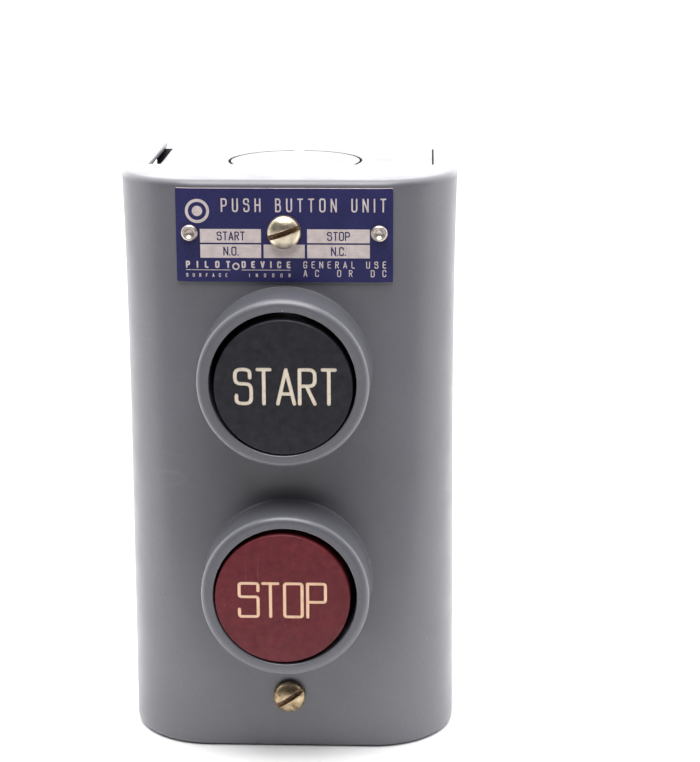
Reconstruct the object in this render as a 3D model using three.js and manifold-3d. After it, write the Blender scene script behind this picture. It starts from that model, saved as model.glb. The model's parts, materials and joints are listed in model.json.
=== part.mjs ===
// A two-button start/stop control station in a sheet-steel case, millimetres, +Z up.
// The case stands on its lower end, its buttons face -Y and its flat back lies in the plane of the wall.
import * as THREE from "three";
import { mergeVertices } from "three/addons/utils/BufferGeometryUtils.js";
import Module from "manifold-3d";

const wasm = await Module();
wasm.setup();

// ---------------------------------------------------------------- driving dimensions
const CASE_WIDTH = 70;
const CASE_HEIGHT = 123.1;
const CASE_DEPTH = 54; // from the cover's face to the wall
const COLLAR_HEIGHT = 11.3; // how far the button collars stand out of the cover's face
const CORNER_RADIUS = 17.5;
const COVER_SHEET = 1.3;
const BASE_SHEET = 1.5;
const FLANGE_SIDE = 5; // width of the cover's end flanges along its sides
const FLANGE_FRONT = 21; // and their depth behind its face
const GAP = 0.2; // clearance between neighbouring pieces
const START_HEIGHT = 83.8;
const STOP_HEIGHT = 38.6;
const BUTTON_RADIUS = 13.95;
const COLLAR_BORE = 14.8;
const BUTTON_TRAVEL = 4;
const UPPER_SCREW_HEIGHT = 112.9;
const LOWER_SCREW_HEIGHT = 12.1;
const CONDUIT_DEPTH = 36.2; // centre of the conduit knockouts behind the cover's face

const SIDES = [-1, 1];
const UNIT_HEIGHTS = [START_HEIGHT, STOP_HEIGHT];

// Places in depth are counted from the cover's face, positive towards the wall.
const DEPTH_TO_Y = -(CASE_DEPTH - COLLAR_HEIGHT) / 2;
const y = (depth) => depth + DEPTH_TO_Y;

// ---------------------------------------------------------------- materials
const material = (color, roughness, metalness) =>
  new THREE.MeshStandardMaterial({ color, roughness, metalness });
const greyEnamel = material(0x6f7476, 0.45, 0.1);
const blueEnamel = material(0x23265c, 0.4, 0.3);
const brass = material(0xc9ad72, 0.3, 1);
const nickel = material(0xc4c0b8, 0.3, 1);
const steel = material(0x9a9da0, 0.4, 1);
const silver = material(0xd8d8d4, 0.25, 1);
const springSteel = material(0x8a8d90, 0.35, 1);
const blackPhenolic = material(0x1b1a1f, 0.5, 0);
const redPhenolic = material(0x6e2430, 0.5, 0);
const brownPhenolic = material(0x2b1d17, 0.55, 0);
const redFibre = material(0x7b2f22, 0.8, 0);
const fishPaper = material(0x5b6657, 0.85, 0);

// ---------------------------------------------------------------- solids
// A closed geometry as a manifold-3d solid.
function solidOf(geometry) {
  const bare = geometry.index ? geometry.toNonIndexed() : geometry.clone();
  bare.deleteAttribute("normal");
  bare.deleteAttribute("uv");
  const merged = mergeVertices(bare, 1e-4);
  return new wasm.Manifold(
    new wasm.Mesh({
      numProp: 3,
      vertProperties: merged.attributes.position.array,
      triVerts: new Uint32Array(merged.index.array),
    }),
  );
}

// A manifold-3d solid as a geometry with flat faces.
function geometryOf(solid) {
  const { vertProperties, triVerts, numProp, numVert } = solid.getMesh();
  const positions = new Float32Array(numVert * 3);
  for (let i = 0; i < numVert; i++)
    positions.set(vertProperties.subarray(i * numProp, i * numProp + 3), i * 3);
  const indexed = new THREE.BufferGeometry()
    .setAttribute("position", new THREE.BufferAttribute(positions, 3))
    .setIndex(new THREE.BufferAttribute(triVerts, 1));
  const flat = indexed.toNonIndexed();
  flat.computeVertexNormals();
  return flat;
}

const join = (first, ...others) =>
  geometryOf(others.reduce((sum, g) => sum.add(solidOf(g)), solidOf(first)));
const cut = (first, ...tools) =>
  geometryOf(tools.reduce((rest, g) => rest.subtract(solidOf(g)), solidOf(first)));

const overlap = (first, second) => geometryOf(solidOf(first).intersect(solidOf(second)));

// ---------------------------------------------------------------- shapes
// A block between two widths, two depths and two heights.
function block([x0, x1], [d0, d1], [z0, z1]) {
  return new THREE.BoxGeometry(x1 - x0, d1 - d0, z1 - z0).translate(
    (x0 + x1) / 2,
    y((d0 + d1) / 2),
    (z0 + z1) / 2,
  );
}

// A round bar along the depth.
function bar(radius, [d0, d1], x, z, sides = 20) {
  return new THREE.CylinderGeometry(radius, radius, d1 - d0, sides).translate(
    x,
    y((d0 + d1) / 2),
    z,
  );
}

// A solid turned about an axis along the depth. Its outline is a closed loop of [radius, depth].
function turned(outline, x, z, sides = 24) {
  const area = outline.reduce((sum, [r, d], i) => {
    const [nextR, nextD] = outline[(i + 1) % outline.length];
    return sum + r * nextD - nextR * d;
  }, 0);
  const loop = area > 0 ? outline : [...outline].reverse();
  const points = [...loop, loop[0]].map(([r, d]) => new THREE.Vector2(r, y(d)));
  return new THREE.LatheGeometry(points, sides).translate(x, 0, z);
}

// A flat outline seen from above, drawn in width and depth and raised between two heights.
function slab(shape, [z0, z1], curveSegments = 8) {
  return new THREE.ExtrudeGeometry(shape, {
    depth: z1 - z0,
    bevelEnabled: false,
    curveSegments,
  }).translate(0, 0, z0);
}

// A flat outline seen from the front, drawn in width and height and given a thickness in depth.
function panel(shape, [d0, d1], curveSegments = 8) {
  return new THREE.ExtrudeGeometry(shape, {
    depth: d1 - d0,
    bevelEnabled: false,
    curveSegments,
  })
    .rotateX(Math.PI / 2)
    .translate(0, y(d1), 0);
}

function rectangle([x0, x1], [z0, z1]) {
  return new THREE.Shape()
    .moveTo(x0, z0)
    .lineTo(x1, z0)
    .lineTo(x1, z1)
    .lineTo(x0, z1)
    .closePath();
}

function addHole(shape, x, z, radius) {
  shape.holes.push(new THREE.Path().absarc(x, z, radius, 0, 2 * Math.PI, true));
  return shape;
}

// The straight sides and round front corners of a plan, as a path from the back left to the back right.
function frontOutline(path, halfWidth, frontDepth, backDepth, radius) {
  const inner = halfWidth - radius;
  const centre = y(frontDepth + radius);
  return path
    .moveTo(-halfWidth, y(backDepth))
    .lineTo(-halfWidth, centre)
    .absarc(-inner, centre, radius, Math.PI, 1.5 * Math.PI, false)
    .absarc(inner, centre, radius, 1.5 * Math.PI, 2 * Math.PI, false)
    .lineTo(halfWidth, y(backDepth));
}

// The band between a plan outline and the same outline moved inwards by its thickness.
function band(halfWidth, frontDepth, backDepth, radius, thickness) {
  const shape = frontOutline(new THREE.Shape(), halfWidth, frontDepth, backDepth, radius);
  const innerHalf = halfWidth - thickness;
  const innerRadius = radius - thickness;
  const innerCentre = y(frontDepth + thickness + innerRadius);
  const flat = innerHalf - innerRadius;
  return shape
    .lineTo(innerHalf, y(backDepth))
    .lineTo(innerHalf, innerCentre)
    .absarc(flat, innerCentre, innerRadius, 0, -0.5 * Math.PI, true)
    .absarc(-flat, innerCentre, innerRadius, 1.5 * Math.PI, Math.PI, true)
    .lineTo(-innerHalf, y(backDepth))
    .closePath();
}

class Helix extends THREE.Curve {
  constructor(radius, turns, [d0, d1], x, z) {
    super();
    Object.assign(this, { radius, turns, d0, d1, x, z });
  }
  getPoint(t, target = new THREE.Vector3()) {
    const angle = 2 * Math.PI * this.turns * t;
    return target.set(
      this.x + this.radius * Math.cos(angle),
      y(this.d0 + (this.d1 - this.d0) * t),
      this.z + this.radius * Math.sin(angle),
    );
  }
}

// A coil spring whose wire lies wholly between the two depths.
function coilSpring(radius, wire, turns, [d0, d1], x, z) {
  const section = new THREE.Shape().absarc(0, 0, wire / 2, 0, 2 * Math.PI, false);
  const path = new Helix(radius, turns, [d0 + wire / 2, d1 - wire / 2], x, z);
  return new THREE.ExtrudeGeometry(section, {
    steps: Math.round(turns * 10),
    curveSegments: 2,
    bevelEnabled: false,
    extrudePath: path,
  });
}

// A slotted screw: a domed head that ends at seat, and a plain shank to its tip.
function slottedScrew({ headRadius, headHeight, shankRadius, seat, tip, slot, turn, x, z, fine }) {
  const top = seat - headHeight;
  const shoulder = headHeight * 0.45;
  const head = [[0, top]];
  const domeSteps = fine ? 4 : 2;
  for (let i = 1; i <= domeSteps; i++) {
    const a = (i / domeSteps) * (Math.PI / 2);
    head.push([
      headRadius * Math.sin(a),
      seat - shoulder - (headHeight - shoulder) * Math.cos(a),
    ]);
  }
  const outline = [
    ...head,
    [headRadius, seat],
    [shankRadius, seat],
    [shankRadius, tip - 0.6],
    [shankRadius - 0.6, tip],
    [0, tip],
  ];
  const tool = new THREE.BoxGeometry(2.4 * headRadius, 2 * slot.depth, slot.width)
    .rotateY(-turn)
    .translate(x, y(top), z);
  return cut(turned(outline, x, z, fine ? 24 : 12), tool);
}

// ---------------------------------------------------------------- the assembly
const station = new THREE.Group();
station.name = "control_station";

function add(name, geometry, look, parent = station) {
  const mesh = new THREE.Mesh(geometry, look);
  mesh.name = name;
  parent.add(mesh);
  return mesh;
}

// ---------------------------------------------------------------- cover
const COVER_BACK = CASE_DEPTH - 0.5;
const COLLAR_OUTER = COLLAR_BORE + 2 * COVER_SHEET;
const COLLAR_ROOT = COLLAR_OUTER + 0.35; // where a collar leaves the face
const COLLAR_INNER_END = 2.4; // where the sheet turned back inside stops
const CREST_STEPS = 10;

// The collar is drawn straight out of the face, and its sheet is folded flat on itself, so that
// its crest is half round.
function collar(z) {
  const foldInside = COLLAR_BORE + COVER_SHEET;
  const foldDepth = COVER_SHEET - COLLAR_HEIGHT;
  const crest = [];
  for (let i = 0; i <= CREST_STEPS; i++) {
    const a = (i / CREST_STEPS) * Math.PI;
    crest.push([foldInside + COVER_SHEET * Math.cos(a), foldDepth - COVER_SHEET * Math.sin(a)]);
  }
  const outline = [
    [COLLAR_ROOT, 0],
    [COLLAR_OUTER + 0.1, -0.12],
    [COLLAR_OUTER, -0.4],
    ...crest,
    [COLLAR_BORE, COLLAR_INNER_END],
    [foldInside, COLLAR_INNER_END],
    [foldInside, COVER_SHEET],
    [COLLAR_ROOT, COVER_SHEET],
  ];
  return turned(outline, 0, z, 40);
}

const SCREW_CLEARANCE = 2.4;
function frontCover() {
  const half = CASE_WIDTH / 2;
  const wall = slab(
    band(half, 0, COVER_BACK, CORNER_RADIUS, COVER_SHEET),
    [0, CASE_HEIGHT],
  );
  const inner = half - FLANGE_SIDE;
  const flange = frontOutline(new THREE.Shape(), half, 0, COVER_BACK, CORNER_RADIUS)
    .lineTo(inner, y(COVER_BACK))
    .lineTo(inner, y(FLANGE_FRONT))
    .lineTo(-inner, y(FLANGE_FRONT))
    .lineTo(-inner, y(COVER_BACK))
    .closePath();
  const openings = UNIT_HEIGHTS.map((z) =>
    bar(COLLAR_OUTER - 0.2, [-1, COVER_SHEET + 1], 0, z, 40),
  );
  const screwHoles = [UPPER_SCREW_HEIGHT, LOWER_SCREW_HEIGHT].map((z) =>
    bar(SCREW_CLEARANCE, [-1, COVER_SHEET + 1], 0, z),
  );
  const rivetHoles = SIDES.map((side) =>
    bar(RIVET_RADIUS + 0.1, [-1, COVER_SHEET + 1], side * RIVET_SPREAD, RIVET_HEIGHT, 12),
  );
  const shell = cut(
    join(
      wall,
      slab(flange, [0, COVER_SHEET]),
      slab(flange, [CASE_HEIGHT - COVER_SHEET, CASE_HEIGHT]),
    ),
    ...openings,
    ...screwHoles,
    ...rivetHoles,
  );
  return join(shell, collar(START_HEIGHT), collar(STOP_HEIGHT));
}

// The nameplate lies on the face under the upper cover screw.
const PLATE_WIDTH = 43.8;
const PLATE_HEIGHT = 19.1;
const PLATE_TOP = CASE_HEIGHT - 1.5;
const PLATE_THICKNESS = 0.5;
const RIVET_SPREAD = 19.1;
const RIVET_HEIGHT = 112.6;
const RIVET_RADIUS = 1;
const RIVET_HEAD = 1.68;

// The plate is bent at its ends to follow the cover's round corners.
function nameplate() {
  const lift = GAP / 2 + PLATE_THICKNESS;
  const outside = band(
    CASE_WIDTH / 2 + lift, -lift, CORNER_RADIUS, CORNER_RADIUS + lift, PLATE_THICKNESS,
  );
  const window = block(
    [-PLATE_WIDTH / 2, PLATE_WIDTH / 2],
    [-1, CORNER_RADIUS - 1],
    [PLATE_TOP - PLATE_HEIGHT - 1, PLATE_TOP + 1],
  );
  const through = [-2, 2];
  return cut(
    overlap(slab(outside, [PLATE_TOP - PLATE_HEIGHT, PLATE_TOP], 14), window),
    bar(SCREW_CLEARANCE, through, 0, UPPER_SCREW_HEIGHT),
    ...SIDES.map((side) =>
      bar(RIVET_RADIUS + 0.1, through, side * RIVET_SPREAD, RIVET_HEIGHT, 12),
    ),
  );
}

// A tubular rivet: a dished head in front and a rolled tail behind the sheet.
function rivet(x) {
  const seat = -PLATE_THICKNESS - GAP;
  const tail = COVER_SHEET + 0.4;
  const outline = [
    [0, seat - 0.25],
    [0.9, seat - 0.45],
    [1.3, seat - 0.8],
    [RIVET_HEAD, seat - 0.5],
    [RIVET_HEAD, seat],
    [RIVET_RADIUS, seat],
    [RIVET_RADIUS, tail],
    [1.5, tail + 0.15],
    [1.5, tail + 0.6],
    [0, tail + 0.6],
  ];
  return turned(outline, x, RIVET_HEIGHT, 16);
}

const COVER_SCREW = {
  headRadius: 3.4,
  headHeight: 2.6,
  shankRadius: 2,
  slot: { width: 1.1, depth: 1.3 },
};
const LIP_DEPTH = 4; // front of the base's threaded lips
const SCREW_TIP = LIP_DEPTH + 6;

function coverScrew(z, seat, turnDegrees) {
  const turn = THREE.MathUtils.degToRad(turnDegrees);
  return slottedScrew({ ...COVER_SCREW, seat, tip: SCREW_TIP, turn, x: 0, z, fine: true });
}

// A fibre washer that keeps a cover screw from dropping out of the cover.
function screwRetainer(z) {
  const shape = new THREE.Shape().absarc(0, z, 4.2, 0, 2 * Math.PI, false);
  addHole(shape, 0, z, COVER_SCREW.shankRadius + 0.1);
  return panel(shape, [COVER_SHEET + GAP, COVER_SHEET + GAP + 0.8], 8);
}

function buildCover() {
  add("front_cover", frontCover(), greyEnamel);
  add("nameplate", nameplate(), blueEnamel);
  add("nameplate_rivet_left", rivet(-RIVET_SPREAD), nickel);
  add("nameplate_rivet_right", rivet(RIVET_SPREAD), nickel);
  const upperSeat = -PLATE_THICKNESS - GAP;
  add("cover_screw_upper", coverScrew(UPPER_SCREW_HEIGHT, upperSeat, 19.5), brass);
  add("cover_screw_lower", coverScrew(LOWER_SCREW_HEIGHT, -GAP / 2, 34.5), brass);
  add("screw_retainer_upper", screwRetainer(UPPER_SCREW_HEIGHT), redFibre);
  add("screw_retainer_lower", screwRetainer(LOWER_SCREW_HEIGHT), redFibre);
}

// ---------------------------------------------------------------- base
const BASE_HALF = 32.4;
const END_RECESS = COVER_SHEET + GAP; // the end walls lie just under the cover's flanges
const END_WALL_HALF = 29.2;
const END_WALL_SHIFT = 0.5; // the base sits a little to one side in the cover
const BASE_TOP = CASE_HEIGHT - END_RECESS;
const BACK_FACE = CASE_DEPTH - BASE_SHEET; // inner face of the back plate
const LIP_HALF = 15;
const LIP_HEIGHT = 15;
const END_CORNER = 14;
const KNOCKOUT_RADIUS = 14.3;
const KNOCKOUT_CUT = 0.6;
const KNOCKOUT_TIE = 2.4;

// A ring cut through an end wall, left whole at a tie in front and one behind.
function knockoutCut(heights) {
  const [z0, z1] = [heights[0] - 1, heights[1] + 1];
  const centre = y(CONDUIT_DEPTH);
  const ring = new THREE.Shape().absarc(
    0, centre, KNOCKOUT_RADIUS + KNOCKOUT_CUT / 2, 0, 2 * Math.PI, false,
  );
  addHole(ring, 0, centre, KNOCKOUT_RADIUS - KNOCKOUT_CUT / 2);
  const reach = KNOCKOUT_RADIUS + 2;
  const ties = block(
    [-KNOCKOUT_TIE / 2, KNOCKOUT_TIE / 2],
    [CONDUIT_DEPTH - reach, CONDUIT_DEPTH + reach],
    [z0 - 1, z1 + 1],
  );
  return cut(slab(ring, [z0, z1], 18), ties);
}

function endWall(heights) {
  const shape = frontOutline(
    new THREE.Shape(), END_WALL_HALF, LIP_DEPTH, CASE_DEPTH, END_CORNER,
  ).closePath();
  return cut(slab(shape, heights, 6).translate(END_WALL_SHIFT, 0, 0), knockoutCut(heights));
}

// A keyhole: a screw head passes the round part and its shank slides up the narrow part.
const KEYHOLE_HEIGHT = 101.5;
function keyhole() {
  const round = bar(4.3, [BACK_FACE - 1, CASE_DEPTH + 1], 0, KEYHOLE_HEIGHT, 24);
  const slot = block(
    [-2.5, 2.5],
    [BACK_FACE - 1, CASE_DEPTH + 1],
    [KEYHOLE_HEIGHT, KEYHOLE_HEIGHT + 8],
  );
  const end = bar(2.5, [BACK_FACE - 1, CASE_DEPTH + 1], 0, KEYHOLE_HEIGHT + 8, 16);
  return join(round, slot, end);
}

const LOWER_SLOT_HEIGHT = 12;
function lowerSlot(x) {
  const through = [BACK_FACE - 1, CASE_DEPTH + 1];
  return join(
    block([x - 2, x + 2], through, [LOWER_SLOT_HEIGHT - 2.5, LOWER_SLOT_HEIGHT + 2.5]),
    bar(2.5, through, x - 2, LOWER_SLOT_HEIGHT, 16),
    bar(2.5, through, x + 2, LOWER_SLOT_HEIGHT, 16),
  );
}

function backBox() {
  const lipBack = LIP_DEPTH + BASE_SHEET;
  const lips = [
    [END_RECESS, END_RECESS + LIP_HEIGHT],
    [BASE_TOP - LIP_HEIGHT, BASE_TOP],
  ].map((heights) => block([-LIP_HALF, LIP_HALF], [LIP_DEPTH, lipBack], heights));
  const folded = join(
    block([-BASE_HALF, BASE_HALF], [BACK_FACE, CASE_DEPTH], [END_RECESS, BASE_TOP]),
    endWall([END_RECESS, END_RECESS + BASE_SHEET]),
    endWall([BASE_TOP - BASE_SHEET, BASE_TOP]),
    ...lips,
  );
  const tappedHoles = [UPPER_SCREW_HEIGHT, LOWER_SCREW_HEIGHT].map((z) =>
    bar(COVER_SCREW.shankRadius + 0.15, [LIP_DEPTH - 1, lipBack + 1], 0, z, 16),
  );
  const through = [BACK_FACE - 1, CASE_DEPTH + 1];
  const blockHoles = SIDES.map((side) =>
    bar(BLOCK_SCREW_SHANK + 0.15, through, side * BLOCK_SCREW_SPREAD, BLOCK_CENTRE, 16),
  );
  return cut(folded, ...tappedHoles, ...blockHoles, keyhole(), lowerSlot(-22), lowerSlot(22));
}

// ---------------------------------------------------------------- contact block
const BLOCK_CENTRE = (START_HEIGHT + STOP_HEIGHT) / 2;
const BLOCK_HALF_HEIGHT = 36;
const BLOCK_HALF_WIDTH = 21; // of its narrow front part
const LEDGE_HALF_WIDTH = 29; // of the wider part that carries the terminals
const PLATE_FRONT = 12.6;
const PLATE_BACK = 15.2;
const BLOCK_FRONT = PLATE_BACK + GAP;
const BLOCK_BACK = BACK_FACE - 0.7;
const LEDGE = BACK_FACE - 21; // the face that the terminal strips lie on
const WELL_HALF_WIDTH = 15;
const WELL_HALF_HEIGHT = 8;
const WELL_FLOOR = BACK_FACE - 2.5;
const STRIP = [LEDGE - 1.3, LEDGE - 0.1];
const STRIP_HALF_HEIGHT = 3;
const STRIP_INNER = 7.6;
const STRIP_OUTER = 28.2;
const TERMINAL_SPREAD = 24.8;
const BLOCK_SCREW_SPREAD = 12;
const BLOCK_SCREW_SHANK = 2;
const BLOCK_SCREW_POCKET = 4.6;
const POCKET_FLOOR = BACK_FACE - 6.5;
const PLATE_SCREW = { x: 17.6, z: 33.2, shank: 1.4, head: 2.6 };
const BARRIER_FRONT = LEDGE - 7.5;
const BLOCK_HEIGHTS = [BLOCK_CENTRE - BLOCK_HALF_HEIGHT, BLOCK_CENTRE + BLOCK_HALF_HEIGHT];

const ordered = (a, b) => [Math.min(a, b), Math.max(a, b)];

function plateScrewPlaces() {
  return SIDES.flatMap((sx) =>
    SIDES.map((sz) => [sx * PLATE_SCREW.x, BLOCK_CENTRE + sz * PLATE_SCREW.z]),
  );
}

function contactBlock() {
  const narrow = block([-BLOCK_HALF_WIDTH, BLOCK_HALF_WIDTH], [BLOCK_FRONT, BLOCK_BACK], BLOCK_HEIGHTS);
  const wide = block([-LEDGE_HALF_WIDTH, LEDGE_HALF_WIDTH], [LEDGE, BLOCK_BACK], BLOCK_HEIGHTS);
  // Barriers stand between the terminals and at both ends. On the left the middle is
  // free, because the link runs there.
  const barrier = (side, offset) =>
    block(
      ordered(side * (BLOCK_HALF_WIDTH - 1), side * LEDGE_HALF_WIDTH),
      [BARRIER_FRONT, LEDGE + 1],
      [BLOCK_CENTRE + offset - 1.2, BLOCK_CENTRE + offset + 1.2],
    );
  const end = BLOCK_HALF_HEIGHT - 1.2;
  const barriers = [
    barrier(1, 0),
    ...SIDES.flatMap((side) => SIDES.map((up) => barrier(side, up * end))),
  ];
  const wells = UNIT_HEIGHTS.map((z) =>
    block(
      [-WELL_HALF_WIDTH, WELL_HALF_WIDTH],
      [BLOCK_FRONT - 1, WELL_FLOOR],
      [z - WELL_HALF_HEIGHT, z + WELL_HALF_HEIGHT],
    ),
  );
  // The strips drop in from the front through a notch in each side wall.
  const notchHalf = STRIP_HALF_HEIGHT + 0.3;
  const notches = UNIT_HEIGHTS.flatMap((z) =>
    SIDES.map((side) =>
      block(
        ordered(side * (WELL_HALF_WIDTH - 1), side * (BLOCK_HALF_WIDTH + 1)),
        [BLOCK_FRONT - 1, LEDGE],
        [z - notchHalf, z + notchHalf],
      ),
    ),
  );
  const terminalHoles = UNIT_HEIGHTS.flatMap((z) =>
    SIDES.map((side) =>
      bar(
        TERMINAL_SCREW.shankRadius + 0.15,
        [LEDGE - 1, TERMINAL_SCREW.tip + 1],
        side * TERMINAL_SPREAD,
        z,
        12,
      ),
    ),
  );
  const pockets = SIDES.flatMap((side) => [
    bar(BLOCK_SCREW_POCKET, [BLOCK_FRONT - 1, POCKET_FLOOR], side * BLOCK_SCREW_SPREAD, BLOCK_CENTRE, 16),
    bar(
      BLOCK_SCREW_SHANK + 0.3,
      [POCKET_FLOOR - 1, BLOCK_BACK + 1],
      side * BLOCK_SCREW_SPREAD,
      BLOCK_CENTRE,
      16,
    ),
  ]);
  const plateScrewHoles = plateScrewPlaces().map(([x, z]) =>
    bar(PLATE_SCREW.shank + 0.15, [BLOCK_FRONT - 1, BLOCK_FRONT + 11], x, z, 12),
  );
  return cut(
    join(narrow, wide, ...barriers),
    ...wells,
    ...notches,
    ...terminalHoles,
    ...pockets,
    ...plateScrewHoles,
  );
}

// The plate that closes the wells and guides the two plungers.
const PLUNGER_RADIUS = 5;
function guidePlate() {
  const shape = rectangle([-BLOCK_HALF_WIDTH, BLOCK_HALF_WIDTH], BLOCK_HEIGHTS);
  for (const z of UNIT_HEIGHTS) addHole(shape, 0, z, PLUNGER_RADIUS + 0.3);
  for (const side of SIDES)
    addHole(shape, side * BLOCK_SCREW_SPREAD, BLOCK_CENTRE, BLOCK_SCREW_POCKET);
  for (const [x, z] of plateScrewPlaces()) addHole(shape, x, z, PLATE_SCREW.shank + 0.15);
  return panel(shape, [PLATE_FRONT, PLATE_BACK], 8);
}

function plateScrew([x, z]) {
  return slottedScrew({
    headRadius: PLATE_SCREW.head,
    headHeight: 1.8,
    shankRadius: PLATE_SCREW.shank,
    seat: PLATE_FRONT - GAP / 2,
    tip: BLOCK_FRONT + 9,
    slot: { width: 0.8, depth: 0.9 },
    turn: x * z,
    x,
    z,
  });
}

function blockScrew(side) {
  return slottedScrew({
    headRadius: 3.8,
    headHeight: 2.4,
    shankRadius: BLOCK_SCREW_SHANK,
    seat: POCKET_FLOOR - GAP / 2,
    tip: CASE_DEPTH - 0.2,
    slot: { width: 1.1, depth: 1.2 },
    turn: side * 0.6,
    x: side * BLOCK_SCREW_SPREAD,
    z: BLOCK_CENTRE,
  });
}

function insulatingSheet() {
  const shape = rectangle(
    [-LEDGE_HALF_WIDTH - 1.5, LEDGE_HALF_WIDTH + 1.5],
    [BLOCK_HEIGHTS[0] - 1.5, BLOCK_HEIGHTS[1] + 1.5],
  );
  for (const side of SIDES)
    addHole(shape, side * BLOCK_SCREW_SPREAD, BLOCK_CENTRE, BLOCK_SCREW_SHANK + 0.3);
  return panel(shape, [BLOCK_BACK + 0.15, BACK_FACE - 0.15], 6);
}

// ---------------------------------------------------------------- terminals
const TERMINAL_SCREW = { headRadius: 2.7, headHeight: 2, shankRadius: 1.7, tip: LEDGE + 10.5 };
const LINK_THICKNESS = 0.6;
const CLAMP_THICKNESS = 0.8;
const TIP_RADIUS = 2;
const TIP_THICKNESS = 0.8;
const TIP_SPREAD = 10;

function contactStrip(side, z) {
  const shape = rectangle(
    ordered(side * STRIP_INNER, side * STRIP_OUTER),
    [z - STRIP_HALF_HEIGHT, z + STRIP_HALF_HEIGHT],
  );
  addHole(shape, side * TERMINAL_SPREAD, z, TERMINAL_SCREW.shankRadius + 0.2);
  return panel(shape, STRIP, 4);
}

// The factory link joins the left terminals of the two units.
function terminalLink() {
  const half = STRIP_HALF_HEIGHT - 0.4;
  const shape = rectangle(
    [-TERMINAL_SPREAD - half, -TERMINAL_SPREAD + half],
    [STOP_HEIGHT - half, START_HEIGHT + half],
  );
  for (const z of UNIT_HEIGHTS)
    addHole(shape, -TERMINAL_SPREAD, z, TERMINAL_SCREW.shankRadius + 0.2);
  const back = STRIP[0] - GAP / 2;
  return panel(shape, [back - LINK_THICKNESS, back], 4);
}

function clampSeat(side) {
  const onStrip = STRIP[0] - GAP / 2;
  return side < 0 ? onStrip - LINK_THICKNESS - GAP / 2 : onStrip;
}

// A square pressure washer with two turned-up edges that keep the wire in.
function wireClamp(side, z) {
  const x = side * TERMINAL_SPREAD;
  const back = clampSeat(side);
  const front = back - CLAMP_THICKNESS;
  const half = 3.6;
  const wall = 0.7;
  const base = block([x - half, x + half], [front, back], [z - half, z + half]);
  const edges = SIDES.map((s) =>
    block(
      ordered(x + s * half, x + s * (half - wall)),
      [front - 1, back],
      [z - half, z + half],
    ),
  );
  const hole = bar(TERMINAL_SCREW.shankRadius + 0.2, [front - 2, back + 1], x, z, 12);
  return cut(join(base, ...edges), hole);
}

function terminalScrew(side, z) {
  return slottedScrew({
    headRadius: TERMINAL_SCREW.headRadius,
    headHeight: TERMINAL_SCREW.headHeight,
    shankRadius: TERMINAL_SCREW.shankRadius,
    seat: clampSeat(side) - CLAMP_THICKNESS - GAP / 2,
    tip: TERMINAL_SCREW.tip,
    slot: { width: 0.9, depth: 1 },
    turn: side * 0.5 + z,
    x: side * TERMINAL_SPREAD,
    z,
  });
}

function contactTip(side, z, depths) {
  return bar(TIP_RADIUS, depths, side * TIP_SPREAD, z, 12);
}

// ---------------------------------------------------------------- the two button units
const CAP_BACK = 8;
const CAP_SKIN = 3.5;
const BOSS_RADIUS = 8;
const STEM_FRONT = -COLLAR_HEIGHT + CAP_SKIN;
const SHOULDER = [BLOCK_FRONT, BLOCK_FRONT + 2];
const BODY_RADIUS = 4.5;
const BODY_BACK = WELL_FLOOR - 10;
const SPIGOT_BACK = BODY_BACK + 4;
const PIN_DEPTH = 3.6;
const PIN_RADIUS = 0.8;
const BRIDGE_THICKNESS = 1.2;
const CLIP_THICKNESS = 0.8;

// The cap is a cup with a central boss. It sits a little off the plunger's axis, as play in the fit allows.
function buttonCap(z, [offsetX, offsetZ]) {
  const face = -COLLAR_HEIGHT;
  const rimWall = 2;
  const outline = [
    [0, face],
    [BUTTON_RADIUS - 0.6, face],
    [BUTTON_RADIUS - 0.18, face + 0.18],
    [BUTTON_RADIUS, face + 0.6],
    [BUTTON_RADIUS, CAP_BACK],
    [BUTTON_RADIUS - rimWall, CAP_BACK],
    [BUTTON_RADIUS - rimWall, face + CAP_SKIN],
    [BOSS_RADIUS, face + CAP_SKIN],
    [BOSS_RADIUS, CAP_BACK],
    [0, CAP_BACK],
  ];
  return cut(
    turned(outline, offsetX, z + offsetZ, 40),
    bar(PLUNGER_RADIUS + 0.15, [STEM_FRONT, CAP_BACK + 1], 0, z, 24),
    crossPinHole(z, BOSS_RADIUS + 1),
  );
}

function crossPinHole(z, halfLength) {
  return new THREE.CylinderGeometry(PIN_RADIUS + 0.1, PIN_RADIUS + 0.1, 2 * halfLength, 12)
    .rotateZ(Math.PI / 2)
    .translate(0, y(PIN_DEPTH), z);
}

function capPin(z) {
  return new THREE.CylinderGeometry(PIN_RADIUS, PIN_RADIUS, 2 * (BOSS_RADIUS - 0.6), 12)
    .rotateZ(Math.PI / 2)
    .translate(0, y(PIN_DEPTH), z);
}

function plunger(z) {
  const outline = [
    [0, STEM_FRONT + GAP],
    [PLUNGER_RADIUS, STEM_FRONT + GAP],
    [PLUNGER_RADIUS, SHOULDER[0]],
    [7.4, SHOULDER[0]],
    [7.4, SHOULDER[1]],
    [BODY_RADIUS, SHOULDER[1]],
    [BODY_RADIUS, BODY_BACK],
    [2.6, BODY_BACK],
    [2.6, SPIGOT_BACK - 0.6],
    [2, SPIGOT_BACK],
    [0, SPIGOT_BACK],
  ];
  return cut(turned(outline, 0, z, 24), crossPinHole(z, PLUNGER_RADIUS + 1));
}

function bridge(z, depths) {
  const shape = rectangle([-13, 13], [z - 3.2, z + 3.2]);
  const boss = new THREE.Shape().absarc(0, z, 6.6, 0, 2 * Math.PI, false);
  return cut(
    join(panel(shape, depths), panel(boss, depths, 8)),
    bar(BODY_RADIUS + 0.2, [depths[0] - 1, depths[1] + 1], 0, z, 24),
  );
}

// A ring snapped on the plunger that holds the bridge against its spring.
function bridgeClip(z, front) {
  const shape = new THREE.Shape().absarc(0, z, 6.2, 0, 2 * Math.PI, false);
  addHole(shape, 0, z, BODY_RADIUS + 0.12);
  return panel(shape, [front, front + CLIP_THICKNESS], 8);
}

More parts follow.
